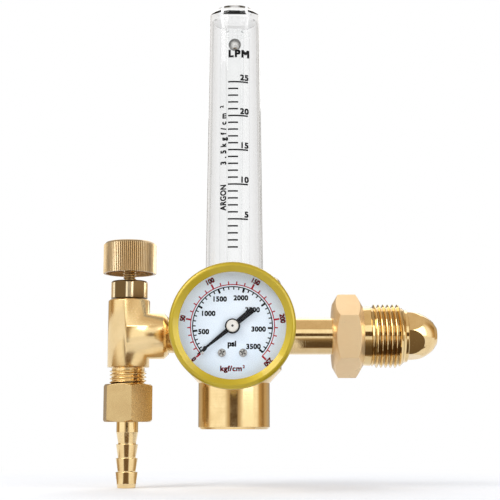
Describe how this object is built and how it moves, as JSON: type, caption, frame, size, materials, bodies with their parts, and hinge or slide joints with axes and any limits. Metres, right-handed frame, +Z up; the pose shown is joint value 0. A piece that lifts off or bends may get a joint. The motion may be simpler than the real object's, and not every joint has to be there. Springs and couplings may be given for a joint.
{
  "type": "argon flowmeter regulator",
  "caption": "Preset gas regulator with cylinder-pressure gauge, clear vertical flow tube with float ball, needle valve with ribbed knob, hose barb and threaded bullet-nose inlet.",
  "frame": {"origin": "on the inlet axis, at the middle of the inlet nut's thread", "axes": "+X along the inlet towards the cylinder valve, +Z up the flow tube, gauge facing -Y"},
  "size_m": [0.1295, 0.081, 0.1893],
  "materials": {
    "turned_brass": "fine turned, satin",
    "polished_brass": "polished",
    "machined_brass": "machined",
    "sintered_bronze": "sintered",
    "spring_steel": "drawn wire",
    "steel": "machined",
    "ball_steel": "polished",
    "black_rubber": "moulded",
    "seat_plastic": "moulded",
    "clear_plastic": "clear moulded plastic",
    "clear_inner": "clear extruded plastic",
    "lens": "clear moulded plastic",
    "gilt_case": "lacquered",
    "gilt_bezel": "lacquered",
    "dial_white": "satin paint",
    "pointer_black": "matt paint",
    "hub_silver": "turned"
  },
  "bodies": {
    "regulator": {"main_body": "turned_brass", "bonnet": "turned_brass", "preset_plug": "machined_brass", "adjusting_spring": "spring_steel", "seat_holder": "machined_brass", "valve_seat": "seat_plastic", "poppet_spring": "spring_steel", "inlet_nipple": "turned_brass", "inlet_filter": "sintered_bronze", "relief_body": "machined_brass", "relief_spring": "spring_steel", "relief_cap": "machined_brass", "outer_tube": "clear_plastic", "cover_gasket": "black_rubber", "metering_tube": "clear_inner", "tube_gasket": "black_rubber", "float_stop": "clear_inner", "gauge_socket": "machined_brass", "gauge_case": "gilt_case", "gauge_bezel": "gilt_bezel", "gauge_lens": "lens", "dial_plate": "dial_white", "dial_screws": "steel", "dial_posts": "machined_brass", "stop_pin": "steel", "movement_back_plate": "machined_brass", "movement_front_plate": "machined_brass", "movement_pillars": "machined_brass", "bourdon_tube": "machined_brass", "bourdon_tip": "machined_brass", "hairspring": "spring_steel", "valve_body": "turned_brass", "packing_nut": "polished_brass", "packing_ring": "seat_plastic", "outlet_nut": "polished_brass", "hose_barb": "polished_brass"},
    "inlet_nut": {"inlet_nut": "polished_brass"},
    "piston": {"piston": "machined_brass", "piston_seal": "black_rubber", "poppet": "steel"},
    "float_ball": {"float_ball": "ball_steel"},
    "relief_disc": {"relief_disc": "seat_plastic"},
    "sector": {"sector_gear": "machined_brass"},
    "link": {"link": "machined_brass"},
    "pointer": {"pointer": "pointer_black", "pointer_hub": "hub_silver", "pinion_arbor": "machined_brass"},
    "needle": {"needle": "steel"},
    "valve_stem": {"valve_stem": "machined_brass", "valve_knob": "turned_brass", "knob_screw": "steel"}
  },
  "joints": [
    {"name": "inlet_nut_turn", "type": "hinge", "parent": "regulator", "child": "inlet_nut", "pos_m": [0, 0, 0], "axis": [1, 0, 0], "continuous": true},
    {"name": "piston_stroke", "type": "slide", "parent": "regulator", "child": "piston", "axis": [0, 0, 1], "range_m": [-0.0008, 0], "stiffness_N_per_m": 2000, "deforming": ["adjusting_spring", "poppet_spring"]},
    {"name": "float_rise", "type": "slide", "parent": "regulator", "child": "float_ball", "axis": [0, 0, 1], "range_m": [-0.101, 0]},
    {"name": "relief_lift", "type": "slide", "parent": "regulator", "child": "relief_disc", "axis": [0, 1, 0], "range_m": [0, 0.0012], "stiffness_N_per_m": 500, "deforming": ["relief_spring"]},
    {"name": "sector_turn", "type": "hinge", "parent": "regulator", "child": "sector", "pos_m": [-0.058, 0, -0.0084], "axis": [0, 1, 0], "range_deg": [-44, 0]},
    {"name": "link_turn", "type": "hinge", "parent": "sector", "child": "link", "pos_m": [-0.05979, 0, -0.01105], "axis": [0, 1, 0], "range_deg": [0, 44]},
    {"name": "pointer_turn", "type": "hinge", "parent": "regulator", "child": "pointer", "pos_m": [-0.058, 0, 0], "axis": [0, 1, 0], "range_deg": [0, 264], "deforming": ["hairspring"]},
    {"name": "needle_lift", "type": "slide", "parent": "regulator", "child": "needle", "axis": [0, 0, 1], "range_m": [0, 0.0025]},
    {"name": "knob_turn", "type": "hinge", "parent": "needle", "child": "valve_stem", "pos_m": [-0.0989, 0, 0.03], "axis": [0, 0, 1], "range_deg": [0, 900]}
  ],
  "couplings": [
    {"joint": "knob_turn", "follows": "needle_lift", "rad_per_m": 6283.2},
    {"joint": "pointer_turn", "follows": "sector_turn", "ratio": -6},
    {"joint": "link_turn", "follows": "sector_turn", "ratio": -1}
  ]
}
